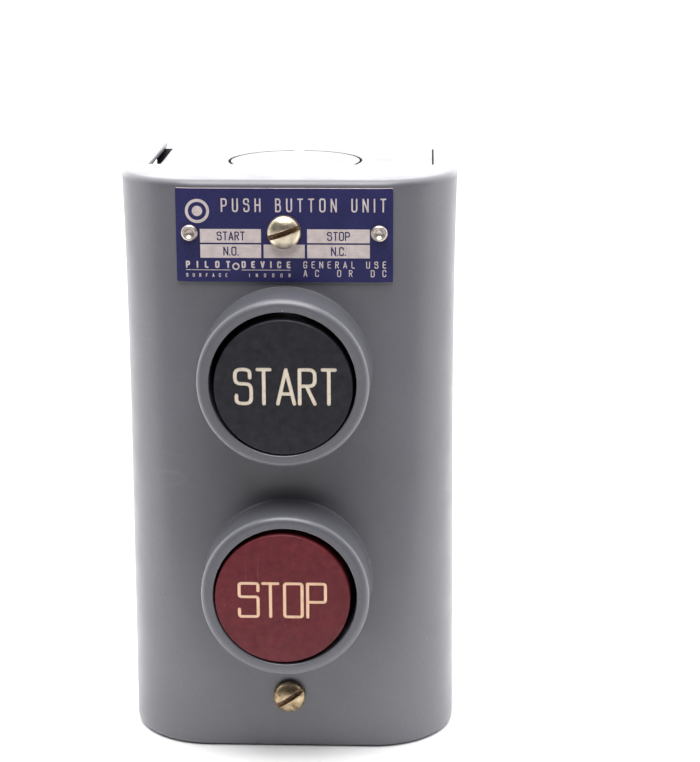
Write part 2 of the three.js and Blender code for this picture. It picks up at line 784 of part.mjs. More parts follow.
function buildUnit({ name, z, look, offset, normallyOpen }) {
  add(`${name}_button_cap`, buttonCap(z, offset), look);
  add(`${name}_cap_pin`, capPin(z), steel);
  add(`${name}_plunger`, plunger(z), brownPhenolic);
  add(
    `${name}_return_spring`,
    coilSpring(4, 0.9, 4.5, [BODY_BACK + GAP, WELL_FLOOR - GAP], 0, z),
    springSteel,
  );

  // A normally open bridge waits one stroke in front of the strips. A normally closed one
  // rests against their back.
  const contactGap = 0.15;
  const fixedTips = normallyOpen
    ? [STRIP[0] - GAP / 2 - TIP_THICKNESS, STRIP[0] - GAP / 2]
    : [STRIP[1] + GAP / 2, STRIP[1] + GAP / 2 + TIP_THICKNESS];
  let bridgeDepths;
  let movingTips;
  if (normallyOpen) {
    const touch = fixedTips[0] - contactGap - BUTTON_TRAVEL;
    movingTips = [touch - TIP_THICKNESS, touch];
    const back = movingTips[0] - GAP / 2;
    bridgeDepths = [back - BRIDGE_THICKNESS, back];
    add(
      `${name}_contact_spring`,
      coilSpring(5.6, 0.7, 3.5, [SHOULDER[1] + GAP, bridgeDepths[0] - GAP], 0, z),
      springSteel,
    );
    add(`${name}_bridge_clip`, bridgeClip(z, bridgeDepths[1] + GAP), steel);
  } else {
    const touch = fixedTips[1] + contactGap;
    movingTips = [touch, touch + TIP_THICKNESS];
    const front = movingTips[1] + GAP / 2;
    bridgeDepths = [front, front + BRIDGE_THICKNESS];
    const seat = BODY_BACK - CLIP_THICKNESS;
    add(
      `${name}_contact_spring`,
      coilSpring(5.6, 0.7, 2.5, [bridgeDepths[1] + GAP, seat - GAP], 0, z),
      springSteel,
    );
    add(`${name}_bridge_clip`, bridgeClip(z, seat), steel);
  }
  add(`${name}_bridge`, bridge(z, bridgeDepths), brass);

  for (const side of SIDES) {
    const hand = side < 0 ? "left" : "right";
    add(`${name}_moving_tip_${hand}`, contactTip(side, z, movingTips), silver);
    add(`${name}_fixed_tip_${hand}`, contactTip(side, z, fixedTips), silver);
    add(`${name}_strip_${hand}`, contactStrip(side, z), brass);
    add(`${name}_wire_clamp_${hand}`, wireClamp(side, z), steel);
    add(`${name}_terminal_screw_${hand}`, terminalScrew(side, z), brass);
  }
}

buildCover();
add("back_box", backBox(), greyEnamel);
add("contact_block", contactBlock(), blackPhenolic);
add("guide_plate", guidePlate(), brownPhenolic);
add("insulating_sheet", insulatingSheet(), fishPaper);
add("terminal_link", terminalLink(), brass);
add("block_screw_left", blockScrew(-1), steel);
add("block_screw_right", blockScrew(1), steel);
plateScrewPlaces().forEach((place, i) => {
  const names = ["lower_left", "upper_left", "lower_right", "upper_right"];
  add(`plate_screw_${names[i]}`, plateScrew(place), steel);
});
buildUnit({
  name: "start",
  z: START_HEIGHT,
  look: blackPhenolic,
  offset: [0.15, -0.6],
  normallyOpen: true,
});
buildUnit({
  name: "stop",
  z: STOP_HEIGHT,
  look: redPhenolic,
  offset: [-0.5, -0.35],
  normallyOpen: false,
});

export default station;
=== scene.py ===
"""Looks of the two-button control station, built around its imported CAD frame.

Lengths below are in millimetres and are turned into metres where a mesh is made. Depths are
counted from the cover's front face, positive towards the wall.
"""
import functools
import json
import math

import bmesh
import bpy
from mathutils import Euler, Matrix, Vector


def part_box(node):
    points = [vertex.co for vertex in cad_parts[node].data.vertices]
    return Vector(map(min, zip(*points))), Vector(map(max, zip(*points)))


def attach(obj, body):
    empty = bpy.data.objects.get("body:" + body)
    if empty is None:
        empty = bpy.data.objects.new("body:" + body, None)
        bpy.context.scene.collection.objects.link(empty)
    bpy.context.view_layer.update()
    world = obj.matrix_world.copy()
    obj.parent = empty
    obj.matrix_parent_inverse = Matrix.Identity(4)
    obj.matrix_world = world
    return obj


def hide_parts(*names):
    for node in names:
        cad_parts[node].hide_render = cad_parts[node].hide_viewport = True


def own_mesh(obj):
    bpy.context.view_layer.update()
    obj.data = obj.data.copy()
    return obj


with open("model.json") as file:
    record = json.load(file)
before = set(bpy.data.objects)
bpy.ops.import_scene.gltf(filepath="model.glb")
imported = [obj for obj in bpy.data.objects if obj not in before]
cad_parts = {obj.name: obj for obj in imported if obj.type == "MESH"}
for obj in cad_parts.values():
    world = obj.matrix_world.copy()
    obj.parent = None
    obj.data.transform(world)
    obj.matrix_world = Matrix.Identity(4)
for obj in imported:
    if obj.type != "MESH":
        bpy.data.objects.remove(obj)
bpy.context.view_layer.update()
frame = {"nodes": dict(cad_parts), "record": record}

MM = 0.001
TINY = 1e-6


@functools.cache
def span(node, axis):
    """Lowest and highest coordinate of a CAD node along an axis, in millimetres."""
    low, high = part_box(node)
    return low[axis] / MM, high[axis] / MM


def middle(node, axis):
    return sum(span(node, axis)) / 2


# ---- sizes taken from the frame
X, Y, Z = range(3)
HALF_WIDTH = span("front_cover", X)[1]
HEIGHT = span("front_cover", Z)[1]
COLLAR_CREST_Y, COVER_BACK_Y = span("front_cover", Y)
COLLAR_HEIGHT = 11.3
FACE_Y = COLLAR_CREST_Y + COLLAR_HEIGHT
COVER_DEPTH = COVER_BACK_Y - FACE_Y
UNITS = {"start": middle("start_plunger", Z), "stop": middle("stop_plunger", Z)}
CORNER_RADIUS = 17.5
FLAT = HALF_WIDTH - CORNER_RADIUS
QUARTER = CORNER_RADIUS * math.pi / 2
BEND_END = FLAT + QUARTER  # where the round corner becomes the side, measured round the plan
SHEET = 1.1


def y_at(depth):
    return FACE_Y + depth


def face_depth(x):
    """Depth of the cover's face at x: flat in the middle, round at the corners."""
    beyond = max(0.0, abs(x) - FLAT)
    return CORNER_RADIUS - math.sqrt(max(0.0, CORNER_RADIUS**2 - beyond**2))


# ---- mesh helpers
def smooth_but_edges(bm, sharp_angle):
    """Shades all faces smooth, and keeps the edges above the angle in degrees sharp."""
    limit = math.radians(sharp_angle)
    for face in bm.faces:
        face.smooth = True
    for edge in bm.edges:
        edge.smooth = len(edge.link_faces) == 2 and edge.calc_face_angle(0) < limit


def finish_mesh(name, bm, looks, sharp_angle):
    """Makes an object from a bmesh in millimetres, and frees the bmesh."""
    same_point = 1e-4
    bmesh.ops.remove_doubles(bm, verts=bm.verts, dist=same_point)
    bmesh.ops.recalc_face_normals(bm, faces=bm.faces)
    smooth_but_edges(bm, sharp_angle)
    bmesh.ops.scale(bm, vec=(MM, MM, MM), verts=bm.verts)
    mesh = bpy.data.meshes.new(name)
    bm.to_mesh(mesh)
    bm.free()
    for look in looks:
        mesh.materials.append(LOOKS[look])
    obj = bpy.data.objects.new(name, mesh)
    bpy.context.scene.collection.objects.link(obj)
    return obj


def apply_modifiers(obj):
    graph = bpy.context.evaluated_depsgraph_get()
    mesh = bpy.data.meshes.new_from_object(obj.evaluated_get(graph))
    obj.modifiers.clear()
    obj.data = mesh


def mark_sharp(obj, sharp_angle):
    bm = bmesh.new()
    bm.from_mesh(obj.data)
    smooth_but_edges(bm, sharp_angle)
    bm.to_mesh(obj.data)
    bm.free()


def bevel(obj, width, angle, flat=False):
    """Rounds the edges above the angle. With flat, the faces beside them keep a flat shading."""
    modifier = obj.modifiers.new("edges", "BEVEL")
    modifier.width = width * MM
    modifier.segments = 2
    modifier.limit_method = "ANGLE"
    modifier.angle_limit = math.radians(angle)
    modifier.harden_normals = flat


def cut_with(obj, tool, overlapping=False):
    """Cuts a tool object out of obj, and removes the tool. Its shells may be overlapping ones."""
    modifier = obj.modifiers.new("cut", "BOOLEAN")
    modifier.operation = "DIFFERENCE"
    modifier.solver = "EXACT"
    modifier.use_self = overlapping
    modifier.object = tool
    apply_modifiers(obj)
    bpy.data.objects.remove(tool)


def join_rings(bm, rings, closed=True):
    """Faces between each ring of vertices and the next. Open rings aren't joined end to end."""
    for ring, following in zip(rings, rings[1:]):
        count = len(ring)
        for i in range(count if closed else count - 1):
            j = (i + 1) % count
            bm.faces.new((ring[i], ring[j], following[j], following[i]))


def lathe(bm, outline, x, z, sides):
    """Turns a closed outline of (radius, depth) about an axis along the depth."""
    rings = []
    for radius, depth in outline:
        if radius < TINY:
            rings.append([bm.verts.new((x, y_at(depth), z))])
            continue
        rings.append([
            bm.verts.new((
                x + radius * math.cos(2 * math.pi * i / sides),
                y_at(depth),
                z + radius * math.sin(2 * math.pi * i / sides),
            ))
            for i in range(sides)
        ])
    for ring, following in zip(rings, rings[1:] + rings[:1]):
        if len(ring) == 1 and len(following) == 1:
            continue
        for i in range(sides):
            j = (i + 1) % sides
            corners = [ring[i % len(ring)], ring[j % len(ring)],
                       following[j % len(following)], following[i % len(following)]]
            bm.faces.new(list(dict.fromkeys(corners)))


def arc(centre, radius, start, end, steps):
    """Points of an arc. Angles are in degrees, from the first axis towards the second."""
    points = []
    for i in range(steps + 1):
        angle = math.radians(start + (end - start) * i / steps)
        points.append((centre[0] + radius * math.cos(angle), centre[1] + radius * math.sin(angle)))
    return points


def settle(obj, body, slot, *nodes):
    """Ties an object to its body, in place of the CAD nodes it stands for, and hides those nodes. The
    slot argument is not used.
    """
    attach(obj, body)
    if nodes:
        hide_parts(*nodes)


# ---- node helpers
def set_range(node, low, high, to_low, to_high):
    """Fills in a Map Range node."""
    numbers = {"From Min": low, "From Max": high, "To Min": to_low, "To Max": to_high}
    for name, number in numbers.items():
        node.inputs[name].default_value = number


class Nodes:
    """A short way to write a material's node tree."""

    def __init__(self, name):
        self.material = bpy.data.materials.new(name)
        self.material.use_nodes = True
        self.tree = self.material.node_tree
        self.shader = self.tree.nodes["Principled BSDF"]
        self.place = self.new("ShaderNodeTexCoord").outputs["Object"]

    def new(self, kind, **settings):
        node = self.tree.nodes.new(kind)
        for key, value in settings.items():
            setattr(node, key, value)
        return node

    def put(self, socket, value):
        if isinstance(value, bpy.types.NodeSocket):
            self.tree.links.new(value, socket)
        else:
            socket.default_value = value

    def set(self, **inputs):
        for name, value in inputs.items():
            self.put(self.shader.inputs[name.replace("_", " ")], value)

    def noise(self, size, detail=3.0, roughness=0.5, stretch=(1, 1, 1)):
        """Noise whose blobs are about size millimetres across."""
        mapping = self.new("ShaderNodeMapping")
        self.put(mapping.inputs["Vector"], self.place)
        mapping.inputs["Scale"].default_value = stretch
        node = self.new("ShaderNodeTexNoise")
        self.put(node.inputs["Vector"], mapping.outputs["Vector"])
        node.inputs["Scale"].default_value = 1 / (size * MM)
        node.inputs["Detail"].default_value = detail
        node.inputs["Roughness"].default_value = roughness
        return node.outputs["Fac"]

    def ramp(self, value, low, high, to_low=0.0, to_high=1.0):
        node = self.new("ShaderNodeMapRange", clamp=True)
        self.put(node.inputs["Value"], value)
        set_range(node, low, high, to_low, to_high)
        return node.outputs["Result"]

    def math(self, operation, a, b=0.0):
        node = self.new("ShaderNodeMath", operation=operation)
        self.put(node.inputs[0], a)
        self.put(node.inputs[1], b)
        return node.outputs["Value"]

    def mix(self, factor, a, b):
        node = self.new("ShaderNodeMix", data_type="RGBA")
        self.put(node.inputs["Factor"], factor)
        self.put(node.inputs["A"], a)
        self.put(node.inputs["B"], b)
        return node.outputs["Result"]

    def tint(self, base, mask, strength, paint):
        """base with paint over it where mask is 1, covering it by strength."""
        return self.mix(self.math("MULTIPLY", mask, strength), base, paint)

    def specks(self, spacing, radius, share):
        """Sparse round specks: 1 inside a speck and 0 elsewhere. share is how many cells hold one."""
        core = 0.6  # share of the radius before a speck fades
        cells = self.new("ShaderNodeTexVoronoi", feature="F1")
        self.put(cells.inputs["Vector"], self.place)
        cells.inputs["Scale"].default_value = 1 / (spacing * MM)
        near = self.ramp(cells.outputs["Distance"], radius / spacing * core, radius / spacing, 1, 0)
        split = self.new("ShaderNodeSeparateColor")
        self.put(split.inputs["Color"], cells.outputs["Color"])
        kept = self.math("LESS_THAN", split.outputs["Red"], share)
        return self.math("MULTIPLY", near, kept)

    def scratches(self, size, stretch, width, level):
        """Thin lines where a stretched noise crosses its middle, with gaps where another is low."""
        middle_value = 0.5
        gate_size, gate_fade = 1.7 * size, 0.08
        wave = self.noise(size, detail=1.0, stretch=stretch)
        off = self.math("ABSOLUTE", self.math("SUBTRACT", wave, middle_value))
        line = self.ramp(off, 0.0, width, 1, 0)
        gate = self.ramp(self.noise(gate_size, detail=1.0), level, level + gate_fade)
        return self.math("MULTIPLY", line, gate)

    def convex_edges(self):
        """1 on convex edges, from the mesh's own curvature, where flat is 0.5."""
        geometry = self.new("ShaderNodeNewGeometry")
        return self.ramp(geometry.outputs["Pointiness"], 0.56, 0.68)

    def bump(self, height, distance, strength, under=None):
        node = self.new("ShaderNodeBump")
        node.inputs["Strength"].default_value = strength
        node.inputs["Distance"].default_value = distance * MM
        self.put(node.inputs["Height"], height)
        if under is not None:
            self.put(node.inputs["Normal"], under)
        return node.outputs["Normal"]


def colour(red, green, blue):
    return (red, green, blue, 1.0)


# ---- materials
# Sizes of noise, specks, scratches and bumps are in millimetres, and colours are linear.
def grey_enamel(name, edge_wear_and_highlight):
    """Baked grey enamel on steel: semi-gloss, faint orange peel, dust specks and fine scratches.

    The second argument sets how far its convex edges are lightened, partly as rubbed wear and partly as
    a painted highlight. It needs a fine mesh, because it is read per vertex.
    """
    n = Nodes(name)
    patches = n.ramp(n.noise(22, detail=4), 0.35, 0.65)
    base = n.mix(patches, colour(0.114, 0.113, 0.132), colour(0.131, 0.131, 0.151))
    fine = n.ramp(n.noise(0.9, detail=5, roughness=0.7), 0.3, 0.7)
    base = n.tint(base, fine, 0.45, colour(0.095, 0.097, 0.112))
    dust = n.specks(5.5, 0.16, 0.35)
    base = n.tint(base, dust, 0.7, colour(0.45, 0.44, 0.42))
    pits = n.specks(9.0, 0.22, 0.3)
    base = n.tint(base, pits, 0.7, colour(0.05, 0.05, 0.055))
    marks = n.scratches(19, (0.25, 1, 1.3), width=0.004, level=0.63)
    base = n.tint(base, marks, 0.18, colour(0.3, 0.3, 0.31))
    # Convex edges lightened to pale grey: partly rubbed wear, partly a painted highlight.
    if edge_wear_and_highlight > 0:
        base = n.tint(base, n.convex_edges(), edge_wear_and_highlight, colour(0.42, 0.42, 0.42))
    rough = n.ramp(n.noise(6, detail=4), 0.3, 0.7, 0.3, 0.4)
    peel = n.bump(n.noise(1.6, detail=2), 0.05, 0.22)
    normal = n.bump(marks, 0.02, 0.3, under=peel)
    n.set(Base_Color=base, Roughness=rough, Normal=normal, IOR=1.6,
          Coat_Weight=0.25, Coat_Roughness=0.22)
    return n.material


def phenolic(name, dark, light, fleck):
    """Moulded phenolic: mottled filler, a satin skin, fine handling scratches and lint."""
    n = Nodes(name)
    mottle = n.ramp(n.noise(1.8, detail=6, roughness=0.65), 0.32, 0.68)
    base = n.mix(mottle, dark, light)
    cloud = n.ramp(n.noise(7, detail=3), 0.3, 0.7)
    base = n.tint(base, cloud, 0.4, dark)
    lint = n.specks(3.2, 0.11, 0.3)
    base = n.tint(base, lint, 0.55, fleck)
    marks = n.scratches(13, (1.2, 1, 0.3), width=0.004, level=0.6)
    base = n.tint(base, marks, 0.15, fleck)
    rough = n.ramp(n.noise(2.5, detail=5), 0.3, 0.7, 0.5, 0.66)
    normal = n.bump(n.noise(0.35, detail=3), 0.02, 0.25)
    normal = n.bump(marks, 0.015, 0.3, under=normal)
    n.set(Base_Color=base, Roughness=rough, Normal=normal, IOR=1.45)
    return n.material


def blue_enamel():
    """Navy enamel fired on the nameplate, a little chalky, with rubbed specks."""
    n = Nodes("blue_enamel")
    tone = n.ramp(n.noise(5, detail=4), 0.3, 0.7)
    base = n.mix(tone, colour(0.010, 0.010, 0.070), colour(0.018, 0.017, 0.100))
    grain = n.ramp(n.noise(0.5, detail=4), 0.35, 0.7)
    base = n.tint(base, grain, 0.3, colour(0.035, 0.033, 0.13))
    rubbed = n.specks(2.6, 0.07, 0.3)
    base = n.tint(base, rubbed, 0.5, colour(0.3, 0.29, 0.42))
    rough = n.ramp(n.noise(3), 0.3, 0.7, 0.3, 0.42)
    normal = n.bump(n.noise(0.7, detail=2), 0.02, 0.25)
    n.set(Base_Color=base, Roughness=rough, Normal=normal, IOR=1.4)
    return n.material


def etched_aluminium():
    """Bare aluminium of the nameplate's letters and panels: matt, warm grey, faintly brushed."""
    n = Nodes("etched_aluminium")
    tone = n.ramp(n.noise(1.4, detail=5), 0.3, 0.7)
    base = n.mix(tone, colour(0.62, 0.53, 0.52), colour(0.78, 0.68, 0.66))
    brushed = n.noise(0.5, detail=2, stretch=(0.15, 1, 3))
    base = n.tint(base, n.ramp(brushed, 0.4, 0.7), 0.25, colour(0.42, 0.38, 0.42))
    rough = n.ramp(brushed, 0.3, 0.7, 0.42, 0.6)
    n.set(Base_Color=base, Metallic=0.35, Roughness=rough, Normal=n.bump(brushed, 0.01, 0.3))
    return n.material


def metal(name, clean, tarnish, rough_low, rough_high, tarnish_share=0.5, grime=None):
    """Plated or bare metal with cloudy tarnish, small stains, fine scratches and bright edges."""
    n = Nodes(name)
    cloud = n.ramp(n.noise(2.2, detail=6, roughness=0.6), 0.35, 0.7)
    base = n.tint(clean, cloud, tarnish_share, tarnish)
    stains = n.ramp(n.noise(0.8, detail=4), 0.58, 0.7)
    base = n.tint(base, stains, tarnish_share, tarnish)
    if grime is not None:
        base = n.tint(base, n.specks(0.9, 0.13, 0.25), 0.8, grime)
    base = n.tint(base, n.convex_edges(), 0.5, clean)
    marks = n.scratches(1.6, (0.3, 1, 1.5), width=0.02, level=0.48)
    rough = n.ramp(n.noise(1.1, detail=5), 0.3, 0.7, rough_low, rough_high)
    rough = n.math("ADD", rough, n.math("MULTIPLY", marks, 0.12))
    normal = n.bump(n.noise(0.25, detail=3), 0.01, 0.2)
    normal = n.bump(marks, 0.01, 0.35, under=normal)
    n.set(Base_Color=base, Metallic=1.0, Roughness=rough, Normal=normal)
    return n.material


def slot_grime():
    """Dark oxide and old dirt in the floor of a screw's slot."""
    n = Nodes("slot_grime")
    tone = n.ramp(n.noise(0.5, detail=5), 0.35, 0.65)
    base = n.mix(tone, colour(0.10, 0.055, 0.028), colour(0.32, 0.19, 0.10))
    n.set(Base_Color=base, Metallic=0.3, Roughness=0.6, Normal=n.bump(tone, 0.03, 0.4))
    return n.material


def fill_paint(name, light, dark):
    """Paint wiped into engraved letters: matt, with slightly dirty patches."""
    n = Nodes(name)
    tone = n.ramp(n.noise(0.8, detail=4), 0.5, 0.75)
    base = n.tint(light, tone, 0.5, dark)
    n.set(Base_Color=base, Roughness=0.6, Normal=n.bump(n.noise(0.25), 0.02, 0.4))
    return n.material


def fibre(name, dark, light):
    """Pressed fibre or paper: matt, with long soft fibres."""
    n = Nodes(name)
    strands = n.ramp(n.noise(0.7, detail=5, stretch=(0.3, 1, 1.6)), 0.35, 0.65)
    base = n.mix(strands, dark, light)
    base = n.tint(base, n.specks(1.4, 0.1, 0.4), 0.5, dark)
    n.set(Base_Color=base, Roughness=0.85, Normal=n.bump(strands, 0.03, 0.4))
    return n.material


def pale_floor():
    """A matt white sweep with an almost invisible grain."""
    n = Nodes("pale_floor")
    tone = n.ramp(n.noise(30, detail=3), 0.3, 0.7)
    base = n.mix(tone, colour(0.92, 0.915, 0.92), colour(0.94, 0.935, 0.94))
    n.set(Base_Color=base, Roughness=0.7, Normal=n.bump(n.noise(1.0), 0.02, 0.1))
    return n.material


LOOKS = {
    "grey_enamel": grey_enamel("grey_enamel", edge_wear_and_highlight=0.5),
    "base_enamel": grey_enamel("base_enamel", edge_wear_and_highlight=0),
    "blue_enamel": blue_enamel(),
    "etched_aluminium": etched_aluminium(),
    "nickel": metal("nickel", colour(0.78, 0.71, 0.66), colour(0.38, 0.28, 0.22), 0.3, 0.44, 0.6),
    "brass": metal("brass", colour(0.90, 0.80, 0.62), colour(0.46, 0.33, 0.20), 0.26, 0.42, 0.45,
                   grime=colour(0.08, 0.045, 0.02)),
    "old_brass": metal("old_brass", colour(0.60, 0.47, 0.30), colour(0.13, 0.08, 0.04), 0.28, 0.46,
                       0.9, grime=colour(0.05, 0.03, 0.015)),
    "steel": metal("steel", colour(0.56, 0.57, 0.58), colour(0.30, 0.29, 0.28), 0.28, 0.45, 0.4),
    "spring_steel": metal("spring_steel", colour(0.42, 0.43, 0.44), colour(0.16, 0.14, 0.13), 0.25, 0.4),
    "silver": metal("silver", colour(0.86, 0.86, 0.84), colour(0.45, 0.40, 0.34), 0.2, 0.35, 0.3),
    "slot_grime": slot_grime(),
    "black_phenolic": phenolic("black_phenolic", colour(0.004, 0.004, 0.008),
                               colour(0.019, 0.017, 0.026), colour(0.22, 0.20, 0.21)),
    "red_phenolic": phenolic("red_phenolic", colour(0.090, 0.005, 0.011),
                             colour(0.172, 0.015, 0.022), colour(0.42, 0.20, 0.19)),
    "brown_phenolic": phenolic("brown_phenolic", colour(0.045, 0.02, 0.012),
                               colour(0.075, 0.036, 0.02), colour(0.2, 0.13, 0.09)),
    "red_fibre": fibre("red_fibre", colour(0.15, 0.035, 0.02), colour(0.27, 0.075, 0.045)),
    "fish_paper": fibre("fish_paper", colour(0.085, 0.10, 0.07), colour(0.15, 0.17, 0.125)),
    "cream_paint": fill_paint("cream_paint", colour(0.84, 0.73, 0.60), colour(0.62, 0.48, 0.36)),
    "peach_paint": fill_paint("peach_paint", colour(1.0, 0.68, 0.46), colour(0.82, 0.46, 0.28)),
}


# ---- cover
SQUARE = 21.5  # half the side of the patch of cover round each collar
SIDE_STEPS = 24  # mesh steps along one side of that patch
EDGE_BEND = 1.5  # outside radius where the cover folds into its end flanges
FLANGE_SIDE = 5.0  # how far an end flange reaches in from each side
FLANGE_FRONT = 21.0  # depth at which its front part ends
WAIST = 0.55  # how much slimmer each side would be at half height than at the ends
LOWER_WAIST = 0.3  # the share of that in the lower part of the case
WAIST_FROM = 0.25  # share of the height at which the waist starts to grow to the whole
WAIST_OVER = 0.37  # share of the height in which it does
COLLAR_FOOT = 17.9  # radius where the collar leaves the face
CREST_ROUNDING = 1.45  # outside radius of the collar's crest


def collar_profile():
    """(radius, how far it stands out) from the foot of the collar to the end of its bore."""
    outer, bore = 17.4, 14.8
    draft = 0.06  # how much wider the wall is at its foot
    foot_height = 0.5
    wall_height = COLLAR_HEIGHT - foot_height - CREST_ROUNDING
    bore_edge, bore_edge_depth = 0.4, 0.42
    foot = [(COLLAR_FOOT, 0.0), (17.66, 0.03), (17.54, 0.12), (17.48, 0.28)]
    foot.append((outer + draft, foot_height))
    wall = [(outer + draft * (1 - t), foot_height + wall_height * t) for t in (0.25, 0.5, 0.75)]
    outside = arc((outer - CREST_ROUNDING, CREST_ROUNDING), CREST_ROUNDING, 0, -90, 12)
    inside = arc((bore + bore_edge, bore_edge_depth), bore_edge, 270, 180, 6)
    crest = [(radius, COLLAR_HEIGHT - depth) for radius, depth in outside + inside]
    return foot + wall + crest + [(bore, height) for height in (7.0, 3.5, 0.0, -2.4)]


def cover_point(s, z, lift=0.0):
    """(x, depth, z) of a point lift above the cover's skin. s runs round the plan from the middle."""
    side = 1.0 if s >= 0 else -1.0
    run = abs(s)
    if run <= FLAT:
        x, depth, nx, nd = run, 0.0, 0.0, -1.0
    elif run <= BEND_END:
        angle = (run - FLAT) / CORNER_RADIUS
        nx, nd = math.sin(angle), -math.cos(angle)
        x = FLAT + CORNER_RADIUS * nx
        depth = CORNER_RADIUS * (1 + nd)
    else:
        x, depth, nx, nd = HALF_WIDTH, CORNER_RADIUS + run - FLAT - QUARTER, 1.0, 0.0
    along = (2 * z / HEIGHT - 1) ** 2
    rise = min(1.0, max(0.0, (z - WAIST_FROM * HEIGHT) / (WAIST_OVER * HEIGHT)))
    waist = WAIST * (LOWER_WAIST + (1 - LOWER_WAIST) * rise)
    slim = waist * (1 - along**2) * min(1.0, depth / CORNER_RADIUS)
    x += nx * lift - slim
    return side * x, depth + nd * lift, z


def cover_skin():
    """The cover's outer skin: face, round corners, sides, end flanges and both collars."""
    corner_steps, side_steps, row_height = 18, 8, 1.8
    bm = bmesh.new()
    side_end = BEND_END + COVER_DEPTH - CORNER_RADIUS
    step = 2 * SQUARE / SIDE_STEPS
    inner = [-SQUARE + step * i for i in range(SIDE_STEPS + 1)]
    outer = [SQUARE + (BEND_END - SQUARE) * i / corner_steps for i in range(1, corner_steps + 1)]
    notch = BEND_END + FLANGE_FRONT - CORNER_RADIUS
    outer += [notch + (side_end - notch) * i / side_steps for i in range(side_steps + 1)]
    columns = [-s for s in reversed(outer)] + inner + outer

    def grid(column_list, row_list):
        rows = [[bm.verts.new(cover_point(s, z)) for s in column_list] for z in row_list]
        join_rings(bm, rows, closed=False)

    # Rows of the plain parts, from the lower bend to the upper one.
    breaks = [EDGE_BEND]
    for z in sorted(UNITS.values()):
        breaks += [z - SQUARE, z + SQUARE]
    breaks.append(HEIGHT - EDGE_BEND)
    left = [s for s in columns if s <= -SQUARE + TINY]
    right = [s for s in columns if s >= SQUARE - TINY]
    for k, (low, high) in enumerate(zip(breaks, breaks[1:])):
        if k % 2:
            rows = [low + (high - low) * i / SIDE_STEPS for i in range(SIDE_STEPS + 1)]
            grid(left, rows)
            grid(right, rows)
        else:
            count = max(1, round((high - low) / row_height))
            grid(columns, [low + (high - low) * i / count for i in range(count + 1)])

    for z in UNITS.values():
        collar_patch(bm, z)
    for top in (False, True):
        end_flange(bm, columns, notch, top)
    for v in bm.verts:
        v.co.y += FACE_Y
    return bm


def collar_patch(bm, centre):
    """A square of cover round one collar, and the collar's turned wall."""
    count = 4 * SIDE_STEPS
    follow_height = 1.0  # over this, the wall ignores the cover's round corners
    frame_ring = []
    for i in range(count):
        side, t = divmod(i, SIDE_STEPS)
        along = -SQUARE + 2 * SQUARE * t / SIDE_STEPS
        frame_ring.append(((SQUARE, along), (-along, SQUARE), (-SQUARE, -along), (along, -SQUARE))[side])
    angles = [math.radians(-45 + 360 * i / count) for i in range(count)]
    rings = []
    steps = 5
    for k in range(steps):
        t = k / steps
        ring = []
        for (ds, dz), angle in zip(frame_ring, angles):
            s = ds + (COLLAR_FOOT * math.cos(angle) - ds) * t
            rise = dz + (COLLAR_FOOT * math.sin(angle) - dz) * t
            ring.append(bm.verts.new(cover_point(s, centre + rise)))
        rings.append(ring)
    for radius, height in collar_profile():
        ring = []
        for angle in angles:
            x, dz = radius * math.cos(angle), radius * math.sin(angle)
            follow = min(1.0, max(0.0, 1 - height / follow_height))
            depth = cover_point(x, centre)[1] * follow - height
            ring.append(bm.verts.new((x, depth, centre + dz)))
        rings.append(ring)
    join_rings(bm, rings)


def end_flange(bm, columns, notch, top):
    """The fold at one end and the flange inside it, which leaves a notch for the base's end wall."""
    steps = 6

    def place(s, inset, drop):
        z = HEIGHT - drop if top else drop
        x, depth, _ = cover_point(s, z, lift=-inset)
        return x, depth, z

    rings = []
    for k in range(steps + 1):
        angle = math.pi / 2 * k / steps
        inset = EDGE_BEND * (1 - math.cos(angle))
        drop = EDGE_BEND * (1 - math.sin(angle))
        rings.append([bm.verts.new(place(s, inset, drop)) for s in columns])
    inner_x = HALF_WIDTH - FLANGE_SIDE
    z = HEIGHT if top else 0.0
    for share in (0.25, 0.5, 0.75, 1.0):
        ring = []
        for s in columns:
            x, depth, _ = place(s, EDGE_BEND, 0.0)
            if abs(s) >= notch - TINY:
                end_x, end_depth = math.copysign(inner_x, s), depth
            else:
                end_x, end_depth = inner_x * s / notch, FLANGE_FRONT
            ring.append(bm.verts.new((x + (end_x - x) * share, depth + (end_depth - depth) * share, z)))
        rings.append(ring)
    join_rings(bm, rings, closed=False)


def make_cover():
    cover = finish_mesh("cover_shell", cover_skin(), ["grey_enamel"], 35)
    sheet = cover.modifiers.new("sheet", "SOLIDIFY")
    sheet.thickness = SHEET * MM
    sheet.offset = -1
    sheet.use_even_offset = True
    apply_modifiers(cover)
    cut_with(cover, screw_and_rivet_holes())
    bevel(cover, 0.2, angle=55)
    apply_modifiers(cover)
    mark_sharp(cover, 40)
    settle(cover, "root", "grey_enamel", "front_cover")


